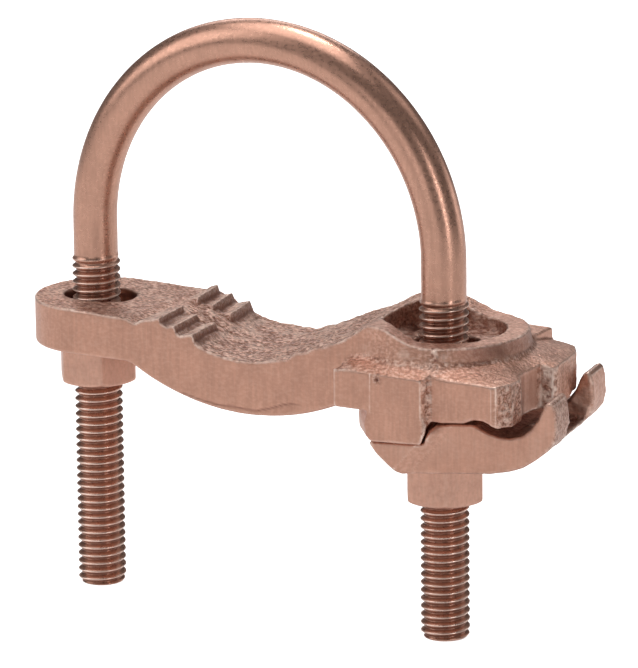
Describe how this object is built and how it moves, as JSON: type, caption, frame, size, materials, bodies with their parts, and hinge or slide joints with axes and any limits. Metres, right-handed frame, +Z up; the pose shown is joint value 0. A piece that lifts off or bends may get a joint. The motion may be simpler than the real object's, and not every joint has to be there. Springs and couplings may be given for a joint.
{
  "type": "ground clamp",
  "caption": "U-bolt ground clamp: threaded U-bolt, toothed cast saddle with a rimmed cable jaw, hooked cable keeper below it, and hex nuts on both legs.",
  "frame": {"origin": "on the pipe's axis, at the centre of the U-bolt's bend", "axes": "+X from the plain leg to the leg with the cable jaw, +Y along the pipe, +Z up through the crown of the bend"},
  "size_m": [0.1195, 0.0397, 0.1171],
  "materials": {
    "rod_copper": "satin copper-coloured rod, darker in the thread roots",
    "cast_copper": "copper-coloured casting, coarse sand-cast tops and finer sides",
    "nut_copper": "satin copper-coloured"
  },
  "bodies": {
    "u_bolt": {"u_bolt": "rod_copper"},
    "saddle": {"saddle": "cast_copper"},
    "keeper": {"keeper": "cast_copper"},
    "left_nut": {"left_nut": "nut_copper"},
    "right_nut": {"right_nut": "nut_copper"}
  },
  "joints": [
    {"name": "saddle_travel", "type": "slide", "parent": "u_bolt", "child": "saddle", "axis": [0, 0, 1], "range_m": [0, 0.014]},
    {"name": "left_nut_turn", "type": "hinge", "parent": "saddle", "child": "left_nut", "pos_m": [-0.03897, 0, -0.0283], "axis": [0, 0, 1], "range_deg": [0, 3176]},
    {"name": "keeper_travel", "type": "slide", "parent": "u_bolt", "child": "keeper", "axis": [0, 0, 1], "range_m": [-0.024, 0]},
    {"name": "right_nut_turn", "type": "hinge", "parent": "keeper", "child": "right_nut", "pos_m": [0.03897, 0, -0.0424], "axis": [0, 0, 1], "range_deg": [-5444, 0]}
  ],
  "couplings": [
    {"joint": "left_nut_turn", "follows": "saddle_travel", "rad_per_m": 3957.9},
    {"joint": "right_nut_turn", "follows": "keeper_travel", "rad_per_m": 3957.9}
  ]
}
